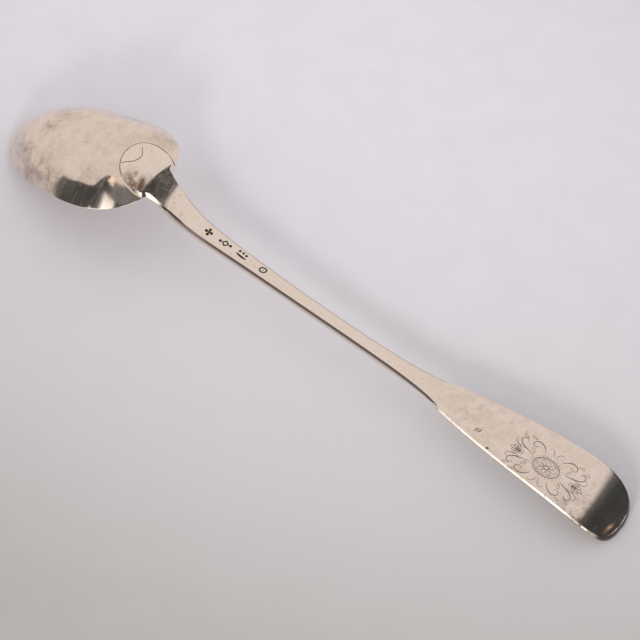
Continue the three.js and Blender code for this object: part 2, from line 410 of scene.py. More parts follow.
def lip_start(turns, grow, width):
    """The share at which the back is width away from the rim's corner."""
    corner = ring_at(1.0, turns, grow)

    def far_from_corner(share):
        return np.linalg.norm(ring_at(share, turns, grow) - corner, axis=-1) > width

    return find_last(np.full(len(turns), 0.5), np.ones(len(turns)), far_from_corner)


def bend(start, corner, end, steps):
    """Rings that lead round a corner from one ring to another."""
    return [mix(mix(start, corner, t), mix(corner, end, t), t) for t in steps]


def make_bowl(material):
    turns = np.linspace(0, 2 * math.pi, BOWL_TURNS, endpoint=False)
    spread = np.sin(np.linspace(0, 1, BOWL_RINGS)[1:] * math.pi / 2)
    outer = lip_start(turns, 0, LIP_ROUND)
    inner = lip_start(turns, -BOWL_WALL, INNER_ROUND)
    rings = [ring_at(share * outer, turns, 0) for share in spread]
    rings += bend(
        rings[-1],
        rim_corner(turns, 0),
        rim_corner(turns, 0, LIP_ROUND),
        np.linspace(0, 1, LIP_RINGS)[1:],
    )
    rings += bend(
        rim_corner(turns, -BOWL_WALL, -INNER_ROUND),
        rim_corner(turns, -BOWL_WALL),
        ring_at(inner, turns, -BOWL_WALL),
        np.linspace(0, 1, INNER_LIP_RINGS),
    )
    rings += [ring_at(share * inner, turns, -BOWL_WALL) for share in spread[::-2]]
    rings = np.array(rings)
    rings[..., 2] = np.maximum(rings[..., 2], 0)
    return make_piece("bowl_silver", rings.reshape(-1, 3), loft(rings), material)


def handle_places(butt):
    """Places along the handle, close together where its outline turns.

    The butt comes twice: it ends the tongue's underside and begins the neck's.
    """
    foot_end = BOWL_LENGTH + 2 * NECK_FOOT
    step_end = SHOULDER_AT + SHOULDER_ROUND
    end_start = SPOON_LENGTH - END_ROUND
    return np.concatenate([
        TONGUE_TIP + TONGUE_ROUND * (1 - np.cos(np.linspace(0, math.pi / 2, 60)[1:-1])),
        np.linspace(TONGUE_MIDDLE, butt, 36),
        np.linspace(butt, foot_end, 90),
        np.linspace(foot_end, SHOULDER_AT, 110)[1:],
        np.linspace(SHOULDER_AT, step_end, 24)[1:],
        np.linspace(step_end, end_start, 36)[1:],
        SPOON_LENGTH - END_ROUND * (1 - np.linspace(0, LAST_SHARE, 150)[1:]) ** 3,
    ])


def find_butt(share_across):
    """Where the neck's underside meets the bowl's heel, at a share of the neck's half width."""
    side = share_across * half_width(np.array(BOWL_LENGTH - 0.5))
    low = np.full_like(share_across, TONGUE_MIDDLE)
    high = np.full_like(share_across, BOWL_LENGTH + 1)
    return find_last(low, high, lambda x: ray_to(x, side, SEAT_LIFT)[0] < 1)


def handle_painted_shade(x, columns):
    """Painted shade on the stem's sides and on the edge round the flat end's tip, standing in for
    dark reflections.
    """
    far_side, near_side, wall = np.zeros((3, columns))
    far_side[HANDLE_ACROSS : HANDLE_ACROSS + len(FAR_SIDE_PAINTED_SHADE)] = FAR_SIDE_PAINTED_SHADE
    near_side[HANDLE_ACROSS : HANDLE_ACROSS + len(NEAR_SIDE_PAINTED_SHADE)] = NEAR_SIDE_PAINTED_SHADE
    wall[HANDLE_ACROSS - 1 : -HANDLE_UNDER] = END_PAINTED_SHADE
    on_stem = smooth(BOWL_LENGTH, BOWL_LENGTH + NECK_FOOT, x)
    on_stem *= 1 - smooth(SHOULDER_AT - SHOULDER_FADE, SHOULDER_AT + SHOULDER_FADE, x)
    far_tip, near_tip = (
        smooth(SPOON_LENGTH - begin, SPOON_LENGTH - end, x)
        for begin, end in (END_PAINTED_SHADE_FAR, END_PAINTED_SHADE_NEAR)
    )
    far = np.outer(on_stem, far_side) + np.outer(far_tip, wall)
    near = np.outer(on_stem, near_side) + np.outer(near_tip, wall)
    return np.hstack([far, near[:, -2:0:-1]]).ravel()


def make_handle(material):
    under_across = np.linspace(1, 0, HANDLE_UNDER)
    butts = find_butt(under_across)
    butt = butts[0]
    x = handle_places(butt)
    past = np.arange(len(x)) > int(np.searchsorted(x, butt))
    half = half_width(x)
    lean = (half_width(x + TINY) - half_width(x - TINY)) / (2 * TINY)
    out_x, out_y = -lean / np.hypot(1, lean), 1 / np.hypot(1, lean)
    depth, plumb = plumb_thickness(x)
    on_neck = smooth(BOWL_LENGTH - TONGUE_RISE, BOWL_LENGTH, x)
    on_flat = smooth(SHOULDER_AT - STEM_WAIST, SHOULDER_AT + SHOULDER_ROUND, x)
    facet = NECK_BEVEL * fade(np.maximum(0, x - BOWL_LENGTH), BEVEL_FADE) * on_neck
    worn = STEM_ROUND * smooth(BOWL_LENGTH, BOWL_LENGTH + NECK_FOOT, x)
    worn = np.maximum(STEM_EDGE, mix(worn, FLAT_CHAMFER[0], on_flat))
    bevel = np.maximum(mix(TONGUE_BEVEL, worn, on_neck), facet)
    deepest = mix(TONGUE_EDGE / 2, BEVEL_SHARE * depth, on_neck)
    drop = np.minimum(mix(bevel, FLAT_CHAMFER[1], on_flat), deepest)
    straight = np.clip(3 * (facet - STEM_EDGE) / (NECK_BEVEL - STEM_EDGE), 0, 1)
    straight = np.maximum(straight, on_flat)
    edge = mix(UNDER_EDGE, STEM_EDGE, past)

    def point(inset, share, shift=0.0):
        return x - inset * out_x + shift, share * (half - inset * out_y)

    columns = []
    for share in np.linspace(0, 1, HANDLE_ACROSS):
        px, py = point(bevel, share)
        columns.append((px, py, handle_back(px, py, half)))
    for t in np.linspace(0, 1, EDGE_STEPS)[1:]:
        px, py = point(bevel * (1 - t), 1)
        fall = drop * mix(1 - math.sqrt(1 - t * t), t, straight)
        columns.append((px, py, handle_back(px, py, half) - fall))
    low = handle_back(x, 0 * x, half) - plumb
    foot = np.where(past, low, bowl_back(x, half, SEAT_LIFT))
    top_x, top_y, top_z = columns[-1]
    columns.append((top_x, top_y, mix(top_z, np.minimum(foot + edge, top_z), 0.25)))
    columns.append((x, half, foot + edge))
    px, py = point(0.3 * edge, 1)
    columns.append((px, py, foot + 0.3 * edge))
    near_butt = smooth(butt - BUTT_EASE, butt, x) * (1 - smooth(butt, butt + BUTT_EASE, x))
    for share, place_of_butt in zip(under_across, butts):
        px, py = point(edge, share, (place_of_butt - butt) * near_butt)
        plain = handle_back(px, 0 * px, half) - plumb_thickness(px)[1]
        columns.append((px, py, np.where(past, plain, bowl_back(px, py, SEAT_LIFT))))
    side = np.array([np.stack(column, -1) for column in columns])
    mirrored = side[-2:0:-1] * (1, -1, 1)
    rings = np.concatenate([side, mirrored]).transpose(1, 0, 2)
    # Painted shade on the stem's sides and round the flat end's tip
    tarnish_and_painted_shade = handle_painted_shade(x, len(columns))
    return make_piece("handle_silver", rings.reshape(-1, 3), loft(rings), material, tarnish_and_painted_shade)


# Lines and dots on the silver


def handle_surface(x, y):
    return handle_back(x, y, half_width(x))


def on_surface(surface, x, y, lift):
    """Points on a surface, and the directions straight out of it."""
    step = 0.01
    slope_x = (surface(x + step, y) - surface(x - step, y)) / (2 * step)
    slope_y = (surface(x, y + step) - surface(x, y - step)) / (2 * step)
    out = np.stack([-slope_x, -slope_y, np.ones_like(x)], -1)
    out /= np.linalg.norm(out, axis=-1, keepdims=True)
    return np.stack([x, y, surface(x, y)], -1) + lift * out, out


class Drawing:
    """Lines and dots on a surface, about a middle point, in millimetres."""

    def __init__(self, surface, middle=(0, 0), turn=0.0, stretch=(1, 1), lift=0.0, weight=1.0):
        self.surface, self.middle, self.stretch, self.lift = surface, middle, stretch, lift
        self.weight = weight
        self.turn = math.radians(turn)
        self.points, self.facing, self.widths, self.dots, self.edges = [], [], [], [], []

    def put(self, along, across, width, size):
        along = np.atleast_1d(along) * self.stretch[0]
        across = np.atleast_1d(across) * self.stretch[1]
        x = self.middle[0] + along * math.cos(self.turn) - across * math.sin(self.turn)
        y = self.middle[1] + along * math.sin(self.turn) + across * math.cos(self.turn)
        points, facing = on_surface(self.surface, x, y, self.lift)
        self.points.extend(points)
        self.facing.extend(facing)
        self.widths.extend(np.broadcast_to(width, x.shape) * self.weight)
        self.dots.extend(np.broadcast_to(size, x.shape))
        return len(x)

    def line(self, along, across, width, closed=False):
        start = len(self.points)
        count = self.put(along, across, width, 0)
        self.edges += [(start + i, start + (i + 1) % count) for i in range(count - (not closed))]

    def dot(self, along, across, size):
        self.put(along, across, 0, size)

    def add(self, other):
        start = len(self.points)
        self.points += other.points
        self.facing += other.facing
        self.widths += other.widths
        self.dots += other.dots
        self.edges += [(start + a, start + b) for a, b in other.edges]


def drawing_tree():
    """Wires along a drawing's lines and beads on its dots, both as flat as they are asked to be."""
    tree = bpy.data.node_groups.new("drawn_on_silver", "GeometryNodeTree")
    asked = {"Drawing": "Geometry", "Flatness": "Float", "Sides": "Int", "Finish": "Material"}
    for name, kind in asked.items():
        tree.interface.new_socket(name, in_out="INPUT", socket_type="NodeSocket" + kind)
    tree.interface.new_socket("Piece", in_out="OUTPUT", socket_type="NodeSocketGeometry")
    graph = Graph(tree)
    given = graph.add("NodeGroupInput").outputs

    def kept(name, kind="FLOAT"):
        node = graph.add("GeometryNodeInputNamedAttribute", {"Name": name}, data_type=kind)
        return node.outputs["Attribute"]

    def flat_shape(shape, flat_axis):
        scale = {axis: given["Flatness"] if axis == flat_axis else 1.0 for axis in range(3)}
        scale = graph.add("ShaderNodeCombineXYZ", scale)
        return graph.add("GeometryNodeTransform", {"Geometry": shape, "Scale": scale})

    facing = kept("facing", "FLOAT_VECTOR")
    path = graph.add("GeometryNodeMeshToCurve", {"Mesh": given["Drawing"]})
    laid = graph.add("GeometryNodeSetCurveNormal", {"Curve": path, "Normal": facing}, mode="FREE")
    sockets = {"Resolution": given["Sides"], "Radius": 0.5}
    section = flat_shape(graph.add("GeometryNodeCurvePrimitiveCircle", sockets), 0)
    sockets = {"Curve": laid, "Profile Curve": section, "Scale": kept("line_width")}
    wire = graph.add("GeometryNodeCurveToMesh", sockets | {"Fill Caps": True})

    size = kept("dot_size")
    sockets = {"Mesh": given["Drawing"], "Selection": graph.math("GREATER_THAN", size, 0.0)}
    points = graph.add("GeometryNodeMeshToPoints", sockets)
    sockets = {"Segments": 10, "Rings": 5, "Radius": 0.5}
    bead = flat_shape(graph.add("GeometryNodeMeshUVSphere", sockets), 2)
    upright = graph.add("FunctionNodeAlignRotationToVector", {"Vector": facing}, axis="Z")
    sockets = {"Points": points, "Instance": bead, "Rotation": upright, "Scale": size}
    beads = graph.add("GeometryNodeInstanceOnPoints", sockets)

    both = graph.add("GeometryNodeJoinGeometry")
    graph.join(wire, both.inputs[0])
    graph.join(beads, both.inputs[0])
    real = graph.add("GeometryNodeRealizeInstances", {"Geometry": both})
    sockets = {"Geometry": real, "Material": given["Finish"]}
    graph.add("NodeGroupOutput", {0: graph.add("GeometryNodeSetMaterial", sockets)})
    return tree


def make_drawn(name, drawing, tree, flatness, sides, finish):
    """A drawing turned into a piece by the tree."""
    mesh = bpy.data.meshes.new(name)
    mesh.from_pydata(place(drawing.points).tolist(), drawing.edges, [])
    for attribute, kind, field, values in (
        ("facing", "FLOAT_VECTOR", "vector", np.array(drawing.facing)),
        ("line_width", "FLOAT", "value", np.array(drawing.widths) * MM),
        ("dot_size", "FLOAT", "value", np.array(drawing.dots) * MM),
    ):
        mesh.attributes.new(attribute, kind, "POINT").data.foreach_set(field, values.ravel())
    piece = add_object(name, mesh)
    shape = piece.modifiers.new("drawn", "NODES")
    shape.node_group = tree
    given = {"Flatness": flatness, "Sides": sides, "Finish": finish}
    for socket in tree.interface.items_tree:
        if socket.name in given:
            shape[socket.identifier] = given[socket.name]
    shaped = piece.evaluated_get(bpy.context.evaluated_depsgraph_get())
    made = bpy.data.meshes.new_from_object(shaped)
    piece.modifiers.clear()
    piece.data = made
    made.name = name
    turn_faces_out(made)
    return piece


def oval(along, across, count=48):
    turns = np.linspace(0, 2 * math.pi, count, endpoint=False)
    return along * np.cos(turns), across * np.sin(turns)


SCROLL_TAPER = np.interp(np.linspace(0, 1, 44), (0, 0.35, 1), (0.12, 0.34, 0.14))


def scroll(start, heading, length, bends, power):
    """A curl whose bend, in radians a millimetre, grows along its length."""
    t = np.linspace(0, 1, len(SCROLL_TAPER))
    step = length / len(t)
    turn = math.radians(heading) + np.cumsum(mix(*bends, t**power)) * step
    return start[0] + np.cumsum(np.cos(turn)) * step, start[1] + np.cumsum(np.sin(turn)) * step


def leaf(start, heading, length, width):
    """A closed pointed loop, widest past its middle."""
    t = np.linspace(0, 2 * math.pi, 16, endpoint=False)
    out = length * (1 - np.cos(t)) / 2
    side = width / 2 * np.sin(t) * (1 - 0.35 * np.cos(t))
    turn = math.radians(heading)
    along = start[0] + out * math.cos(turn) - side * math.sin(turn)
    return along, start[1] + out * math.sin(turn) + side * math.cos(turn)


ORNAMENT_SCROLLS = (  # start, heading, length, first and last bend, power; and its weight
    (((5.5, 1.5), 22, 11.5, (-0.06, 1.45), 2.2), 1.0),
    (((2.9, 4.9), 66, 10.5, (-0.1, -1.25), 1.6), 1.0),
    (((8.9, 2.2), 2, 6.6, (0.0, 1.7), 2.2), 0.7),
    (((0.5, 5.6), 84, 5.0, (0.0, -1.9), 1.5), 0.6),
)
ORNAMENT_BUDS = (  # start, heading, length and width
    ((6.1, 2.6), 60, 2.1, 0.8),
    ((10.5, 6.3), 40, 2.2, 0.8),
    ((7.9, 8.1), 15, 1.9, 0.7),
)
SHELL_AT = 9.7
SHELL_RAYS = (-48, -24, 0, 24, 48)


def draw_ornament():
    """An oval rosette between four pairs of scrolls, with a shell of rays at each end."""
    sheet = Drawing(handle_surface, ORNAMENT_AT, 0, ORNAMENT_STRETCH, weight=ORNAMENT_WEIGHT)
    sheet.line(*oval(4.6, 3.8), 0.26, closed=True)
    sheet.line(*oval(4.0, 3.2), 0.14, closed=True)
    sheet.line(*oval(0.75, 0.65, 14), 0.2, closed=True)
    sheet.dot(*oval(5.3, 4.5, 26), 0.34)
    for turn in range(0, 360, 45):
        start = 0.9 * math.cos(math.radians(turn)), 0.8 * math.sin(math.radians(turn))
        reach = 2.3 + 0.35 * math.cos(math.radians(2 * turn))
        sheet.line(*leaf(start, turn, reach, 1.1), 0.16, closed=True)
    fan = np.radians(np.linspace(-70, 70, 12))
    for end in (1, -1):
        for side in (1, -1):
            for shape, weight in ORNAMENT_SCROLLS:
                along, across = scroll(*shape)
                sheet.line(along * end, across * side, SCROLL_TAPER * weight)
            for shape in ORNAMENT_BUDS:
                along, across = leaf(*shape)
                sheet.line(along * end, across * side, 0.14, closed=True)
        for turn in SHELL_RAYS:
            along, across = leaf((SHELL_AT, 0), turn, 3.9 - 0.03 * abs(turn), 0.95)
            sheet.line(along * end, across, 0.17, closed=True)
        sheet.line((SHELL_AT - 0.9 * np.cos(fan)) * end, 0.9 * np.sin(fan), 0.2)
    return sheet


def draw_punch_marks():
    """Four plain marks: five dots, a lozenge between dots, dots over a bar, and a dot in a ring."""
    marks = Drawing(handle_surface, (108.6, 0.2), 8)
    marks.dot(*oval(1.2, 1.2, 4), 1.45)
    marks.dot(0, 0, 1.2)
    lozenge = Drawing(handle_surface, (116.9, 0.5), 8)
    lozenge.line(*oval(1.35, 1.15, 4), 0.9, closed=True)
    lozenge.dot((-2.4, 2.4), (0, 0), 1.35)
    row = Drawing(handle_surface, (125.4, 0.7), -4)
    row.dot((-1.8, -0.1, 1.6), (0.75, 0.9, 0.75), 1.2)
    row.line((-2.4, -0.7, 0.7, 2.4), (-0.8, -0.95, -0.95, -0.8), (0.6, 1.0, 1.0, 0.6))
    ring = Drawing(handle_surface, (136.2, 0.5), 20)
    ring.line(*oval(1.45, 1.1, 20), 0.65, closed=True)
    ring.dot(0, 0, 0.55)
    for mark in (lozenge, row, ring):
        marks.add(mark)
    return marks


def draw_faint_marks():
    """A worn little mark and a pit beside it on the flat end."""
    worn = Drawing(handle_surface, (246.5, -5.2), 15)
    worn.line(*oval(1.1, 0.7, 16), 0.22, closed=True)
    worn.line((-1.5, -0.4, 0.6, 1.6), (-0.9, 0.2, -0.2, 0.8), 0.22)
    worn.dot((-0.3, 0.7), (0.2, -0.1), 0.4)
    pit = Drawing(handle_surface, (253.9, -9.6))
    pit.dot(0, 0, 0.95)
    pit.dot(0.5, 0.3, 0.55)
    worn.add(pit)
    return worn


def draw_scribed_arch():
    """A scribed line that bows across the tongue."""
    x, y = np.array(SCRIBED_ARCH).T
    spaced, fine = np.arange(len(x)), np.linspace(0, len(x) - 1, 40)
    arch = Drawing(handle_surface)
    arch.line(np.interp(fine, spaced, x), np.interp(fine, spaced, y), SCRIBE_WIDTH)
    return arch


def draw_seam():
    """The line of solder round the tongue, from one side of the bowl's heel to the other."""
    turns = np.linspace(-1, 1, 160)
    x = mix(BOWL_LENGTH, TONGUE_TIP, 1 - np.abs(turns) ** 2.2)
    y = np.sign(turns) * half_width(x)
    on_bowl = ray_to(x, y, 0)[0] < SEAM_END
    seam = Drawing(bowl_back, lift=SEAM_HEIGHT)
    seam.line(x[on_bowl], y[on_bowl], SEAM_WIDTH)
    return seam


# Materials


def linear(red, green, blue):
    """A colour as it shows on screen, 0 to 255, turned to the light values of a material."""
    shown = np.array([red, green, blue]) / 255
    light = np.where(shown <= 0.04045, shown / 12.92, ((shown + 0.055) / 1.055) ** 2.4)
    return (*light, 1)


BROWN_STAIN = linear(146, 124, 108)
DARK_SPECK = linear(92, 78, 68)
PAINTED_SIDE_SHADE_COLOUR = linear(84, 72, 66)
# A painted highlight on the solder seam, where the tongue's edge catches light
PAINTED_SEAM_HIGHLIGHT = linear(236, 226, 216)

# Patterns on old silver: lumps a metre, detail, roughness and distortion
CLOUDS = (70, 7, 0.65, 0.6)
GRAIN = (800, 3, 0.6)
MOTTLE = (260, 4, 0.6, 0.3)
HAMMER_DENTS = (75, 1.5)

# Its brush marks and scratches: lines a metre along each axis, and the turn in degrees
BRUSHED = ((900, 70, 70), 0)
FINE_SCRATCHES = ((500, 6000, 3000), 24)
CROSS_SCRATCHES = ((5200, 420, 2600), -37)
LONG_SCRATCHES = ((45, 1600, 900), 31)

# Stains: x, y and reach in millimetres, and strength
BOWL_STAINS = (
    (35.5, -20.0, 9, 0.5), (23.2, -14.9, 8, 0.7), (26.9, -4.0, 6, 0.75), (15, -11, 7, 0.35),
    (28, 6, 8, 0.3), (45, -22, 7, 0.35), (72.7, 16.6, 7, 0.5), (54, 20, 7, 0.25),
    (36, -10, 6, 0.25), (60, -16, 7, 0.3), (28, -22, 7, 0.6), (13, -14, 7, 0.3), (4, 0, 9, 0.15),
)
TONGUE_STAINS = (
    (76.5, -10.4, 6, 0.75), (79.5, -10, 5, 0.5), (76, -7.5, 7, 0.4), (81.6, -4.3, 5, 0.65),
)
FLAT_STAINS = (
    (296, -12, 14, 0.6), (272, -12, 12, 0.12), (238, -1, 22, 0.14), (268, 0, 75, 0.16),
)

POLISH = 0.04  # the roughness of clean silver
SCRATCH_DEPTH = 0.003
PIT_DEPTH = 0.02
SOLDER_GRAIN = 0.02


class Graph:
    """Short ways to write the nodes of a material or a shape."""

    def __init__(self, tree):
        self.tree = tree
        tree.nodes.clear()

    def join(self, source, socket):
        if isinstance(source, bpy.types.Node):
            source = source.outputs[0]
        if isinstance(source, bpy.types.NodeSocket):
            self.tree.links.new(source, socket)
        else:
            socket.default_value = source

    def add(self, kind, sockets=(), **settings):
        """A node with its settings made and its sockets filled or joined."""
        node = self.tree.nodes.new(kind)
        for name, value in settings.items():
            setattr(node, name, value)
        for name, value in dict(sockets).items():
            self.join(value, node.inputs[name])
        return node

    def math(self, operation, *values, clamp=False):
        sockets = enumerate(values)
        return self.add("ShaderNodeMath", sockets, operation=operation, use_clamp=clamp).outputs[0]

    def times(self, value, share, plus=0.0):
        return self.math("MULTIPLY_ADD", value, share, plus)

    def step(self, value, start, end):
        """0 below start, 1 above end, smooth between; the other way round if end is lower."""
        sockets = {"Value": value, "From Min": start, "From Max": end}
        return self.add("ShaderNodeMapRange", sockets, interpolation_type="SMOOTHSTEP").outputs[0]

    def blend(self, share, first, second):
        sockets = {"Factor": share, 6: first, 7: second}
        return self.add("ShaderNodeMix", sockets, data_type="RGBA").outputs[2]

    def noise(self, place, scale, detail=3.0, roughness=0.5, distortion=0.0):
        sockets = {"Scale": scale, "Detail": detail, "Roughness": roughness}
        sockets |= {"Vector": place, "Distortion": distortion}
        return self.add("ShaderNodeTexNoise", sockets).outputs["Fac"]

    def mapped(self, place, scale, turn=0.0):
        sockets = {"Vector": place, "Rotation": (0, 0, math.radians(turn)), "Scale": scale}
        return self.add("ShaderNodeMapping", sockets).outputs[0]

    def where(self):
        return self.add("ShaderNodeTexCoord").outputs["Object"]

    def away_from(self, x, y):
        """How far a place is from a spot on the spoon, seen from above."""
        sockets = {0: self.mapped(self.where(), (1, 1, 0)), 1: tuple(place((x, y, 0)))}
        return self.add("ShaderNodeVectorMath", sockets, operation="DISTANCE").outputs["Value"]

    def bump(self, height, depth, below=None):
        sockets = {"Height": height, "Distance": depth * MM, "Strength": 1.0}
        if below is not None:
            sockets["Normal"] = below
        return self.add("ShaderNodeBump", sockets).outputs[0]

    def glow(self, colour, strength=1.0):
        return self.add("ShaderNodeEmission", {"Color": colour, "Strength": strength})

    def finish(self, shader):
        self.add("ShaderNodeOutputMaterial", {"Surface": shader})

    def surface(self, colour, others):
        self.finish(self.add("ShaderNodeBsdfPrincipled", {"Base Color": colour} | others))


def new_material(name):
    material = bpy.data.materials.new(name)
    material.use_nodes = True
    return material, Graph(material.node_tree)


def old_silver(name, bright, tarnish_and_painted_shade, dents, stains, cloudy=1.0):
    """Worn silver: clouded tarnish, dark specks, fine scratches and the hammer's soft dents, with
    painted shade on the sides that a piece marks.
    """
    material, graph = new_material(name)
    where = graph.where()
    clouds = graph.step(graph.noise(where, *CLOUDS), 0.42, 0.72)
    grain = graph.noise(where, *GRAIN)
    mottle = graph.noise(where, *MOTTLE)

    def lines(grid, detail, low, high, rough=0.5):
        return graph.step(graph.noise(graph.mapped(where, *grid), 1, detail, rough), low, high)

    stained = 0.0
    for x, y, radius, share in stains:
        near = graph.step(graph.away_from(x, y), radius * MM, 0.0)
        stained = graph.times(near, share, stained)
    stained = graph.math("MULTIPLY", stained, graph.step(mottle, 0.25, 0.7), clamp=True)
    specks = graph.step(graph.times(stained, 0.12, grain), 0.66, 0.76)

    dull = graph.times(graph.step(mottle, 0.4, 0.75), 0.3 * cloudy)
    dull = graph.times(clouds, 0.27 * cloudy, dull)
    dull = graph.math("ADD", dull, graph.times(grain, 0.5, -0.22), clamp=True)
    # Painted shade on the stem's sides and round the flat end's tip, standing in for dark
    # reflections
    sides = graph.add("ShaderNodeAttribute", attribute_name="painted_side_shade").outputs["Fac"]
    colour = graph.blend(dull, bright, tarnish_and_painted_shade)
    colour = graph.blend(stained, colour, BROWN_STAIN)
    colour = graph.blend(graph.times(sides, 0.85), colour, PAINTED_SIDE_SHADE_COLOUR)
    colour = graph.blend(graph.times(specks, 0.5), colour, DARK_SPECK)

    scratches = graph.math(
        "ADD", lines(FINE_SCRATCHES, 2, 0.6, 0.68), lines(CROSS_SCRATCHES, 2, 0.62, 0.7)
    )
    rough = graph.times(mottle, 0.05, POLISH)
    rough = graph.times(stained, 0.05, rough)
    rough = graph.times(scratches, 0.03, rough)

    relief = graph.bump(graph.noise(where, *HAMMER_DENTS), dents)
    relief = graph.bump(graph.times(scratches, -1), SCRATCH_DEPTH, relief)
    relief = graph.bump(graph.times(specks, -1), PIT_DEPTH, relief)

    haze = graph.times(lines(LONG_SCRATCHES, 1, 0.68, 0.71), 0.1)
    haze = graph.times(graph.step(mottle, 0.45, 0.75), 0.05, haze)
    haze = graph.times(lines(BRUSHED, 3, 0.5, 0.75, 0.6), 0.09, haze)
    haze = graph.times(haze, cloudy)
    metal = graph.math("SUBTRACT", 1.0, haze)
    graph.surface(colour, {"Metallic": metal, "Roughness": rough, "Normal": relief})
    return material


def dark_line(name, deep, worn, rough, painted_highlight=None):
    """Tarnish that stays in cut lines and in the seam, with a painted highlight round one place
    where the seam's edge catches light.
    """
    material, graph = new_material(name)
    where = graph.where()
    patches = graph.step(graph.noise(where, 400, 3), 0.35, 0.7)
    colour = graph.blend(patches, deep, worn)
    # Painted highlight where the seam's edge catches light
    if painted_highlight:
        x, y, radius = painted_highlight
        highlit = graph.step(graph.away_from(x, y), radius * MM, 0.7 * radius * MM)
        colour = graph.blend(highlit, colour, PAINTED_SEAM_HIGHLIGHT)
    rough = graph.times(patches, -0.15, rough)
    relief = graph.bump(graph.noise(where, 1500, 2), SOLDER_GRAIN)
    graph.surface(colour, {"Metallic": 0.4, "Roughness": rough, "Normal": relief})
    return material


# Room, light and camera

# The table's pale colour, and the painted shade that it darkens to outwards
FLOOR_FAR = linear(242, 238, 244)
FLOOR_PAINTED_SHADE = linear(167, 162, 154)
FLOOR_MOTTLE = linear(204, 200, 205)
BRIGHTEST_AT = (-0.127, 0.138, 0)  # the painted shade on the table is lightest here and deepens outwards, in metres
BRIGHT_REACH = (0.54, 0.335, 1)
BRIGHT_TURN = 8.5
DARKEST_SHARE = 0.9
DARKEST_EASE = 0.3
TABLE_RADIUS = 0.25
FLOOR_RADIUS = 4.0
FLOOR_TURNS = 96
EVEN_LIGHT = (0.785, 0.78, 0.785, 1)
WINDOW_LIGHT_AT = (0.20, -0.46, 0.31)
WINDOW_LIGHT_AIM = (0.10, 0, 0)
WINDOW_LIGHT_SIZE = 0.12
WINDOW_LIGHT_POWER = 0.9

VIEW_AIM = (160.75, 6.02)  # on the table, in millimetres from the bowl's tip
VIEW_AZIMUTH = 38.42
VIEW_ELEVATION = 54.94
VIEW_DISTANCE = 963.33
PICTURE_WIDTH = 640  # in pixels
FOCAL_LENGTH = 2401.3  # in pixels
FILM_WIDTH = 36

# The room that the silver mirrors. Places on its round wall are in degrees: azimuths, then the
# angles down from straight above, then how soft the edges are.
ROOM_RADIUS = 0.9
ROOM_PALE = linear(229, 222, 217)
ROOM_BROWN = linear(122, 108, 94)
ROOM_GREY = linear(118, 120, 119)
ROOM_DARK = linear(73, 74, 74)
ROOM_GLOW = linear(190, 187, 182)
WINDOW_WHITE = linear(255, 253, 248)
LAMP_WARM = linear(255, 236, 216)
CEILING_WARM = linear(240, 220, 200)
SPARK_YELLOW = linear(222, 190, 150)
STREAK_GREY = linear(128, 125, 121)
DARK_TOP = (16, 25)
DARK_LEFT = (-105.7, (-18.8, 15.7, 25.6), (-21.6, 51.7, 82))  # start, then bend, from, to
DARK_RIGHT = (50, (-19.5, 20, 45), (16, 43, 56))
DARK_LEFT_SOFT = 1.2
DARK_RIGHT_SOFT = 0.8
DARKER_SIDE = (-80, -110)
DARKER_BELOW = (44, 50)
BROWN_SIDE = (-40, 5)
BROWN_ABOVE = (48, 40)
GLOW = (-106, -78, 47, 110, 9.0)
GLOW_SHARE = 0.6
WINDOW = (-103, -79, 47, 110, 4.0)
WINDOW_BRIGHTER = (48, 70)
LAMP = (-112, -89, 17, 30, 3.0)
CEILING = (-66, -46, 9, 18.5, 2.0)
SPARK = (37, 39, 25, 28, 0.7)
NECK_STREAK = (33.5, 38.5, 52.8, 53.4, 0.3)
EDGE_LIGHTS = ((-118, -92, 77, 110, 2.0), (-96, -60, 80, 110, 2.0), (-56, -16, 69, 112, 2.0))
LAMP_EXTRA = 0.2  # how much brighter than white it is
WINDOW_EXTRA = 0.5

# The shade that the turned-down tip mirrors
SHADE_MIDDLE = (0.150, 0, 0.012)  # the flat end, in metres
SHADE_RADIUS = 0.3
SHADE_SPAN = (12, 68)
SHADE_EDGE = (35, 42.5)  # the angles down from straight above between which it begins
SHADE_LOW = 100
SHADE_DARKER = (41, 52)
SHADE_FOLDS = (12, 3)  # lumps a metre, detail
SHADE_WARM = (8, 8, 50)  # lumps a metre along each axis
SHADE_WARM_SIDE = (44, 26)
SHADE_TOP = linear(92, 94, 92)
SHADE_DARK = linear(55, 59, 60)
SHADE_FOLD = linear(70, 74, 74)
SHADE_BROWN = linear(62, 56, 52)
TIP_STREAK = (25.9, 26.8, 78.5, 84, 0.4)
TIP_STREAK_WARM = linear(225, 185, 155)


def directions(graph, radius):
    """The azimuth on a round wall, and the angle down from straight above, in degrees."""
    x, y, z = graph.add("ShaderNodeSeparateXYZ", {0: graph.where()}).outputs
    degrees = 180 / math.pi
    azimuth = graph.times(graph.math("ARCTAN2", y, x), degrees)
    down = graph.times(graph.math("ARCCOSINE", graph.math("DIVIDE", z, radius)), degrees)
    return azimuth, down


def lit_patch(graph, azimuth, down, low, high, top, bottom, soft):
    """1 between two azimuths and two heights."""
    sides = graph.times(
        graph.step(azimuth, low - soft, low + soft),
        graph.step(azimuth, high + soft, high - soft),
    )
    ends = graph.times(
        graph.step(down, top - soft, top + soft),
        graph.step(down, bottom + soft, bottom - soft),
    )
    return graph.times(sides, ends)


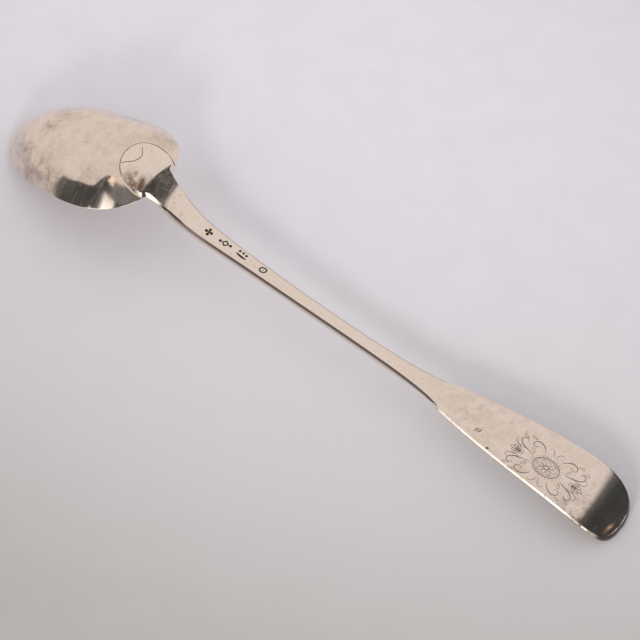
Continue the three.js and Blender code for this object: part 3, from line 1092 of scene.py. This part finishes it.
def room_look():
    """The room as the silver mirrors it: pale walls, a dark side, a window and warm lamps."""
    material, graph = new_material("mirrored_room")
    azimuth, down = directions(graph, ROOM_RADIUS)

    def edge_line(start, *bends):
        """An azimuth that moves by an amount between two heights."""
        line = start
        for amount, begin, end in bends:
            line = graph.times(graph.step(down, begin, end), amount, line)
        return line

    def patch(bounds):
        return lit_patch(graph, azimuth, down, *bounds)

    from_left = graph.math("SUBTRACT", azimuth, edge_line(*DARK_LEFT))
    from_right = graph.math("SUBTRACT", edge_line(*DARK_RIGHT), azimuth)
    dark = graph.times(
        graph.step(from_left, -DARK_LEFT_SOFT, DARK_LEFT_SOFT),
        graph.step(from_right, -DARK_RIGHT_SOFT, DARK_RIGHT_SOFT),
    )
    dark = graph.times(dark, graph.step(down, *DARK_TOP))
    brown = graph.times(graph.step(azimuth, *BROWN_SIDE), graph.step(down, *BROWN_ABOVE))
    tone = graph.blend(graph.step(azimuth, *DARKER_SIDE), ROOM_GREY, ROOM_DARK)
    tone = graph.blend(graph.step(down, *DARKER_BELOW), tone, ROOM_DARK)
    tone = graph.blend(brown, tone, ROOM_BROWN)
    tone = graph.blend(graph.times(patch(GLOW), GLOW_SHARE), tone, ROOM_GLOW)

    lamp, window = patch(LAMP), patch(WINDOW)
    edge_light = 0.0
    for bounds in EDGE_LIGHTS:
        edge_light = graph.math("MAXIMUM", edge_light, patch(bounds))
    look = graph.blend(dark, ROOM_PALE, tone)
    for share, colour in (
        (patch(CEILING), CEILING_WARM),
        (lamp, LAMP_WARM),
        (patch(SPARK), SPARK_YELLOW),
        (patch(NECK_STREAK), STREAK_GREY),
        (window, WINDOW_WHITE),
        (edge_light, WINDOW_WHITE),
    ):
        look = graph.blend(share, look, colour)
    low_window = graph.times(window, graph.step(down, *WINDOW_BRIGHTER))
    strength = graph.times(lamp, LAMP_EXTRA, 1.0)
    strength = graph.times(low_window, WINDOW_EXTRA, strength)
    strength = graph.times(edge_light, WINDOW_EXTRA, strength)
    graph.finish(graph.glow(look, strength))
    return material


def shade_look():
    """Dark cloth with a soft upper edge."""
    material, graph = new_material("dark_shade")
    azimuth, down = directions(graph, SHADE_RADIUS)
    where = graph.where()
    folds = graph.noise(where, *SHADE_FOLDS)
    warm = graph.step(graph.noise(graph.mapped(where, SHADE_WARM), 1, 3), 0.45, 0.65)
    warm = graph.times(warm, graph.step(azimuth, *SHADE_WARM_SIDE))
    look = graph.blend(folds, SHADE_DARK, SHADE_FOLD)
    look = graph.blend(warm, look, SHADE_BROWN)
    look = graph.blend(graph.step(down, *SHADE_DARKER), SHADE_TOP, look)
    look = graph.blend(lit_patch(graph, azimuth, down, *TIP_STREAK), look, TIP_STREAK_WARM)
    clear = graph.add("ShaderNodeBsdfTransparent")
    cloth = {"Fac": graph.step(down, *SHADE_EDGE), 1: clear, 2: graph.glow(look)}
    graph.finish(graph.add("ShaderNodeMixShader", cloth))
    return material


def only_mirrored(thing):
    """Stages a thing that only mirrors see."""
    for kind in ("camera", "diffuse", "transmission", "volume_scatter", "shadow"):
        setattr(thing, "visible_" + kind, False)


def build_room():
    """A round room, near enough for the spoon's two ends to see different parts of it."""
    mesh = bpy.data.meshes.new("room")
    walls = bmesh.new()
    bmesh.ops.create_uvsphere(walls, u_segments=96, v_segments=48, radius=ROOM_RADIUS)
    walls.to_mesh(mesh)
    walls.free()
    mesh.materials.append(room_look())
    only_mirrored(add_object("room", mesh))


def hang_shade():
    """A dark cloth beside the flat end, which only the turned-down tip of the spoon mirrors."""
    across = np.radians(np.linspace(*SHADE_SPAN, 19))
    down = np.radians(np.linspace(SHADE_EDGE[0], SHADE_LOW, 25))
    turn, fall = np.meshgrid(across, down)
    points = np.stack([np.sin(fall) * np.cos(turn), np.sin(fall) * np.sin(turn), np.cos(fall)], -1)
    points = (points * SHADE_RADIUS).reshape(-1, 3)
    index = np.arange(turn.size).reshape(turn.shape)
    faces = np.stack([index[:-1, :-1], index[1:, :-1], index[1:, 1:], index[:-1, 1:]], -1)
    mesh = bpy.data.meshes.new("shade")
    mesh.from_pydata(points.tolist(), [], faces.reshape(-1, 4).tolist())
    mesh.materials.append(shade_look())
    shade = add_object("shade", mesh)
    shade.location = SHADE_MIDDLE
    only_mirrored(shade)


def light_world():
    """Even soft light, and a plain backdrop for the camera."""
    world = bpy.data.worlds.new("even_light")
    bpy.context.scene.world = world
    world.use_nodes = True
    graph = Graph(world.node_tree)
    seen = graph.add("ShaderNodeLightPath").outputs["Is Camera Ray"]
    light = {"Color": graph.blend(seen, EVEN_LIGHT, FLOOR_FAR)}
    graph.add("ShaderNodeOutputWorld", {"Surface": graph.add("ShaderNodeBackground", light)})


def add_window_light():
    """A small soft lamp that throws the spoon's shadow, and that neither mirror nor camera sees."""
    lamp = bpy.data.lights.new("window_light", "AREA")
    lamp.shape = "DISK"
    lamp.size = WINDOW_LIGHT_SIZE
    lamp.energy = WINDOW_LIGHT_POWER
    lamp_object = add_object("window_light", lamp)
    lamp_object.location = WINDOW_LIGHT_AT
    back = Vector(WINDOW_LIGHT_AT) - Vector(WINDOW_LIGHT_AIM)
    lamp_object.rotation_euler = back.to_track_quat("Z", "Y").to_euler()
    lamp_object.visible_glossy = False
    lamp_object.visible_camera = False


def floor_look():
    """A pale table top with painted shade that deepens outwards from one place."""
    material, graph = new_material("table_top")
    where = graph.where()
    away = {"Location": BRIGHTEST_AT, "Rotation": (0, 0, math.radians(BRIGHT_TURN))}
    away |= {"Vector": where, "Scale": BRIGHT_REACH}
    away = graph.add("ShaderNodeMapping", away, vector_type="TEXTURE")
    share = graph.add("ShaderNodeVectorMath", {0: away, 1: away}, operation="DOT_PRODUCT")
    share = graph.math("SMOOTH_MIN", share.outputs["Value"], DARKEST_SHARE, DARKEST_EASE)
    mottle = graph.times(graph.step(graph.noise(where, 60, 4), 0.3, 0.7), 0.1)
    # Painted shade, deepening outwards
    colour = graph.blend(share, FLOOR_FAR, FLOOR_PAINTED_SHADE)
    colour = graph.blend(mottle, colour, FLOOR_MOTTLE)
    graph.surface(colour, {"Roughness": 0.9, "Specular IOR Level": 0.0})
    return material


def lay_floor():
    """The table top, and a wider floor that mirrors don't see, so that they show the walls."""
    material = floor_look()
    turns = np.linspace(0, 2 * math.pi, FLOOR_TURNS, endpoint=False)
    circle = np.stack([np.cos(turns), np.sin(turns), 0 * turns], -1)
    inside = np.arange(FLOOR_TURNS)
    ring = np.stack([inside, np.roll(inside, -1)], -1)
    ring = np.hstack([ring, ring[:, ::-1] + FLOOR_TURNS])
    table = circle * TABLE_RADIUS
    beyond = np.concatenate([circle * FLOOR_RADIUS, table])
    for name, points, faces, mirrored in (
        ("table_top", table, [inside.tolist()], True),
        ("floor_beyond", beyond, ring.tolist(), False),
    ):
        mesh = bpy.data.meshes.new(name)
        mesh.from_pydata(points.tolist(), [], faces)
        mesh.materials.append(material)
        floor = add_object(name, mesh)
        floor.visible_glossy = mirrored


def set_camera():
    azimuth, elevation = math.radians(VIEW_AZIMUTH), math.radians(VIEW_ELEVATION)
    aim = Vector(place((*VIEW_AIM, 0)))
    forward = Vector((
        -math.sin(azimuth) * math.cos(elevation),
        math.cos(azimuth) * math.cos(elevation),
        -math.sin(elevation),
    ))
    camera = bpy.data.cameras.new("camera")
    camera.sensor_width = FILM_WIDTH
    camera.lens = FILM_WIDTH * FOCAL_LENGTH / PICTURE_WIDTH
    camera_object = add_object("camera", camera)
    camera_object.location = aim - forward * VIEW_DISTANCE * MM
    camera_object.rotation_euler = (-forward).to_track_quat("Z", "Y").to_euler()
    bpy.context.scene.camera = camera_object


# The spoon

set_camera()
light_world()
build_room()
hang_shade()
add_window_light()
lay_floor()

bowl_silver = old_silver(
    "bowl_silver", linear(238, 225, 214), linear(206, 180, 160), 0.05, BOWL_STAINS
)
handle_silver = old_silver(
    "handle_silver",
    linear(243, 231, 221),
    linear(214, 194, 178),
    0.02,
    TONGUE_STAINS + FLAT_STAINS,
    cloudy=0.35,
)
# The solder's painted highlight lies where the tongue's near edge catches light
solder = dark_line("solder", linear(48, 38, 31), linear(98, 78, 62), 0.5, painted_highlight=(80, -11, 9))
cut_line = dark_line("cut_line", linear(58, 48, 42), linear(104, 90, 78), 0.55)
punched = dark_line("punched", linear(28, 26, 24), linear(58, 52, 47), 0.6)

bowl = make_bowl(bowl_silver)
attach(bowl, "root")
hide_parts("bowl")

handle = make_handle(handle_silver)
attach(handle, "root")
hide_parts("handle")

seam_materials = bpy.data.objects["solder_seam"].data.materials
seam_materials.clear()
seam_materials.append(solder)

tree = drawing_tree()
for name, drawing, flatness, sides, finish, slot in (
    ("solder_line", draw_seam(), 1.0, 8, solder, "solder"),
    ("scribed_arch", draw_scribed_arch(), 0.2, 6, cut_line, "handle_silver"),
    ("punch_marks", draw_punch_marks(), 0.15, 6, punched, "handle_silver"),
    ("faint_marks", draw_faint_marks(), 0.15, 6, cut_line, "handle_silver"),
    ("engraved_ornament", draw_ornament(), 0.15, 6, cut_line, "handle_silver"),
):
    piece = make_drawn(name, drawing, tree, flatness, sides, finish)
    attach(piece, "root")

bpy.context.scene.view_settings.view_transform = "Standard"
